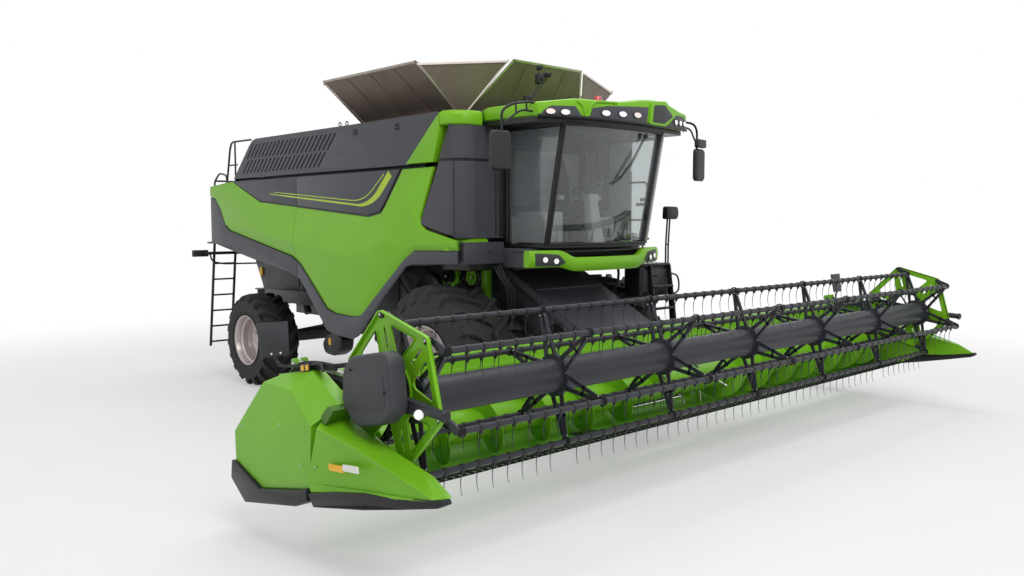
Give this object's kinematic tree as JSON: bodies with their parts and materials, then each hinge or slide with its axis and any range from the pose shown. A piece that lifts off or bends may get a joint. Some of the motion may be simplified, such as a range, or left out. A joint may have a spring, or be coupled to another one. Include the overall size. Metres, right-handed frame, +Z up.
{
  "type": "combine harvester",
  "caption": "Wheeled combine harvester with a glazed cab, open grain tank with folding panels, swinging side covers, feeder house and a wide auger header with a bat reel.",
  "frame": {"origin": "on the ground, below the middle of the whole machine's box", "axes": "+Z up, the machine faces -Y, +X is its left side"},
  "size_m": [9.7, 10.2068, 4.5884],
  "materials": {
    "body_green": "satin gloss green paint",
    "dark_paint": "satin dark grey paint",
    "black_paint": "satin black paint and moulded covers",
    "tank_steel": "brownish grey sheet with bright flanges",
    "bright_steel": "bright steel",
    "rim_paint": "silver paint",
    "tyre_rubber": "matt black rubber with deep lugs",
    "cab_glass": "clear tinted glass",
    "seat_cloth": "woven dark seat cloth"
  },
  "bodies": {
    "chassis": {"main_frame": "dark_paint", "front_axle": "black_paint", "rear_axle_beam": "dark_paint", "separator_body": "dark_paint", "engine": "black_paint", "rear_hood": "dark_paint", "engine_hood": "dark_paint", "shoulder_panel_left": "body_green", "shoulder_panel_right": "body_green", "rear_ladder": "black_paint", "grain_tank": "tank_steel", "cab_frame": "black_paint", "cab_roof": "body_green", "windscreen": "cab_glass", "side_glass": "cab_glass", "cab_apron": "body_green", "cab_seat": "seat_cloth", "steering_column": "black_paint", "access_platform": "black_paint"},
    "header": {"feeder_house": "dark_paint", "header_frame": "body_green", "cutterbar": "black_paint", "end_shield_left": "body_green", "end_shield_right": "body_green"},
    "reel_arms": {"reel_arm_left": "dark_paint", "reel_arm_right": "dark_paint"},
    "reel": {"reel_core": "dark_paint"},
    "front_wheel_left": {"front_tyre_left": "tyre_rubber", "front_rim_left": "rim_paint"},
    "front_wheel_right": {"front_tyre_right": "tyre_rubber", "front_rim_right": "rim_paint"},
    "rear_wheel_left": {"rear_tyre_left": "tyre_rubber", "rear_rim_left": "rim_paint"},
    "rear_wheel_right": {"rear_tyre_right": "tyre_rubber", "rear_rim_right": "rim_paint"},
    "knuckle_left": {"steering_knuckle_left": "dark_paint"},
    "front_cover_left": {"front_cover_left": "body_green"},
    "rear_cover_left": {"rear_cover_left": "body_green"},
    "tank_panel_left": {"tank_panel_left": "tank_steel"},
    "control_plate_left": {"control_plate_left": "body_green"},
    "knuckle_right": {"steering_knuckle_right": "dark_paint"},
    "front_cover_right": {"front_cover_right": "body_green"},
    "rear_cover_right": {"rear_cover_right": "body_green"},
    "tank_panel_right": {"tank_panel_right": "tank_steel"},
    "control_plate_right": {"control_plate_right": "body_green"},
    "tie_rod": {"tie_rod": "bright_steel"},
    "tank_panel_front": {"tank_panel_front": "tank_steel"},
    "tank_panel_rear": {"tank_panel_rear": "tank_steel"},
    "unloading_auger": {"unloading_auger": "dark_paint"},
    "cab_door": {"cab_door": "black_paint"},
    "lift_barrels": {"lift_barrels": "black_paint"},
    "lift_rods": {"lift_rods": "bright_steel"},
    "intake_auger": {"intake_auger": "body_green"},
    "bat_1": {"bat_1": "dark_paint"},
    "bat_2": {"bat_2": "dark_paint"},
    "bat_3": {"bat_3": "dark_paint"},
    "bat_4": {"bat_4": "dark_paint"},
    "bat_5": {"bat_5": "dark_paint"},
    "bat_6": {"bat_6": "dark_paint"}
  },
  "joints": [
    {"name": "front_spin_left", "type": "hinge", "parent": "chassis", "child": "front_wheel_left", "pos_m": [1.39, -1.17031, 0.925], "axis": [1, 0, 0], "continuous": true},
    {"name": "front_spin_right", "type": "hinge", "parent": "chassis", "child": "front_wheel_right", "pos_m": [-1.39, -1.17031, 0.925], "axis": [1, 0, 0], "continuous": true},
    {"name": "rear_spin_left", "type": "hinge", "parent": "knuckle_left", "child": "rear_wheel_left", "pos_m": [1.42, 3.51969, 0.735], "axis": [1, 0, 0], "continuous": true},
    {"name": "rear_spin_right", "type": "hinge", "parent": "knuckle_right", "child": "rear_wheel_right", "pos_m": [-1.42, 3.51969, 0.735], "axis": [1, 0, 0], "continuous": true},
    {"name": "steer_right", "type": "hinge", "parent": "chassis", "child": "knuckle_right", "pos_m": [-1.01, 3.51969, 0.735], "axis": [0, 0, 1], "range_deg": [-35, 35]},
    {"name": "steer_left", "type": "hinge", "parent": "chassis", "child": "knuckle_left", "pos_m": [1.01, 3.51969, 0.735], "axis": [0, 0, 1], "range_deg": [-35, 35]},
    {"name": "tie_rod_swing", "type": "hinge", "parent": "knuckle_right", "child": "tie_rod", "pos_m": [-1.01, 3.77969, 0.735], "axis": [0, 0, 1], "range_deg": [-35, 35]},
    {"name": "front_cover_swing_left", "type": "hinge", "parent": "chassis", "child": "front_cover_left", "pos_m": [1.708, -1.17031, 3.275], "axis": [0, -1, 0], "range_deg": [0, 75]},
    {"name": "rear_cover_swing_left", "type": "hinge", "parent": "chassis", "child": "rear_cover_left", "pos_m": [1.708, -1.17031, 3.275], "axis": [0, -1, 0], "range_deg": [0, 75]},
    {"name": "tank_panel_fold_left", "type": "hinge", "parent": "chassis", "child": "tank_panel_left", "pos_m": [1.1, -1.17031, 3.975], "axis": [0, -1, 0], "range_deg": [0, 143]},
    {"name": "front_cover_swing_right", "type": "hinge", "parent": "chassis", "child": "front_cover_right", "pos_m": [-1.708, -1.17031, 3.275], "axis": [0, 1, 0], "range_deg": [0, 75]},
    {"name": "rear_cover_swing_right", "type": "hinge", "parent": "chassis", "child": "rear_cover_right", "pos_m": [-1.708, -1.17031, 3.275], "axis": [0, 1, 0], "range_deg": [0, 75]},
    {"name": "tank_panel_fold_right", "type": "hinge", "parent": "chassis", "child": "tank_panel_right", "pos_m": [-1.1, -1.17031, 3.975], "axis": [0, 1, 0], "range_deg": [0, 143]},
    {"name": "tank_panel_fold_front", "type": "hinge", "parent": "chassis", "child": "tank_panel_front", "pos_m": [0, -1.09531, 3.95], "axis": [-1, 0, 0], "range_deg": [0, 124]},
    {"name": "tank_panel_fold_rear", "type": "hinge", "parent": "chassis", "child": "tank_panel_rear", "pos_m": [0, 1.01469, 3.95], "axis": [1, 0, 0], "range_deg": [0, 124]},
    {"name": "unloading_auger_swing", "type": "hinge", "parent": "chassis", "child": "unloading_auger", "pos_m": [1.45, -0.43031, 3.5], "axis": [0, 0, -1], "range_deg": [0, 100]},
    {"name": "cab_door_swing", "type": "hinge", "parent": "chassis", "child": "cab_door", "pos_m": [0.935, -1.70531, 3], "axis": [0, 0, 1], "range_deg": [0, 80]},
    {"name": "feeder_lift", "type": "hinge", "parent": "chassis", "child": "header", "pos_m": [0, -0.87031, 2], "axis": [-1, 0, 0], "range_deg": [-8.5, 16]},
    {"name": "lift_barrel_swing", "type": "hinge", "parent": "chassis", "child": "lift_barrels", "pos_m": [0, -1.23031, 0.69], "axis": [-1, 0, 0], "range_deg": [-10, 19]},
    {"name": "lift_rod_slide", "type": "slide", "parent": "lift_barrels", "child": "lift_rods", "axis": [0, -0.9992, 0.0403], "range_m": [-0.2, 0.375]},
    {"name": "intake_auger_spin", "type": "hinge", "parent": "header", "child": "intake_auger", "pos_m": [0, -3.57946, 0.80224], "axis": [1, 0, 0], "continuous": true},
    {"name": "reel_lift", "type": "hinge", "parent": "header", "child": "reel_arms", "pos_m": [0, -3.06138, 1.43692], "axis": [-1, 0, 0], "range_deg": [0, 16]},
    {"name": "reel_spin", "type": "hinge", "parent": "reel_arms", "child": "reel", "pos_m": [0, -4.41405, 1.32105], "axis": [1, 0, 0], "continuous": true},
    {"name": "bat_1_hinge", "type": "hinge", "parent": "reel", "child": "bat_1", "pos_m": [0, -4.27041, 1.85714], "axis": [1, 0, 0], "continuous": true},
    {"name": "bat_2_hinge", "type": "hinge", "parent": "reel", "child": "bat_2", "pos_m": [0, -3.87796, 1.46469], "axis": [1, 0, 0], "continuous": true},
    {"name": "bat_3_hinge", "type": "hinge", "parent": "reel", "child": "bat_3", "pos_m": [0, -4.02161, 0.9286], "axis": [1, 0, 0], "continuous": true},
    {"name": "bat_4_hinge", "type": "hinge", "parent": "reel", "child": "bat_4", "pos_m": [0, -4.55769, 0.78496], "axis": [1, 0, 0], "continuous": true},
    {"name": "bat_5_hinge", "type": "hinge", "parent": "reel", "child": "bat_5", "pos_m": [0, -4.95014, 1.1774], "axis": [1, 0, 0], "continuous": true},
    {"name": "bat_6_hinge", "type": "hinge", "parent": "reel", "child": "bat_6", "pos_m": [0, -4.80649, 1.71349], "axis": [1, 0, 0], "continuous": true},
    {"name": "control_plate_turn_left", "type": "hinge", "parent": "reel_arms", "child": "control_plate_left", "pos_m": [4.433, -4.27109, 1.38317], "axis": [1, 0, 0], "continuous": true},
    {"name": "control_plate_turn_right", "type": "hinge", "parent": "reel_arms", "child": "control_plate_right", "pos_m": [-4.433, -4.27109, 1.38317], "axis": [1, 0, 0], "continuous": true}
  ],
  "couplings": [
    {"joint": "steer_left", "follows": "steer_right", "ratio": 1},
    {"joint": "tie_rod_swing", "follows": "steer_right", "ratio": -1},
    {"joint": "lift_barrel_swing", "follows": "feeder_lift", "ratio": 1.13},
    {"joint": "lift_rod_slide", "follows": "feeder_lift", "m_per_rad": 1.32},
    {"joint": "bat_1_hinge", "follows": "reel_spin", "ratio": -1},
    {"joint": "bat_2_hinge", "follows": "reel_spin", "ratio": -1},
    {"joint": "bat_3_hinge", "follows": "reel_spin", "ratio": -1},
    {"joint": "bat_4_hinge", "follows": "reel_spin", "ratio": -1},
    {"joint": "bat_5_hinge", "follows": "reel_spin", "ratio": -1},
    {"joint": "bat_6_hinge", "follows": "reel_spin", "ratio": -1},
    {"joint": "control_plate_turn_left", "follows": "reel_spin", "ratio": 1},
    {"joint": "control_plate_turn_right", "follows": "reel_spin", "ratio": 1}
  ]
}
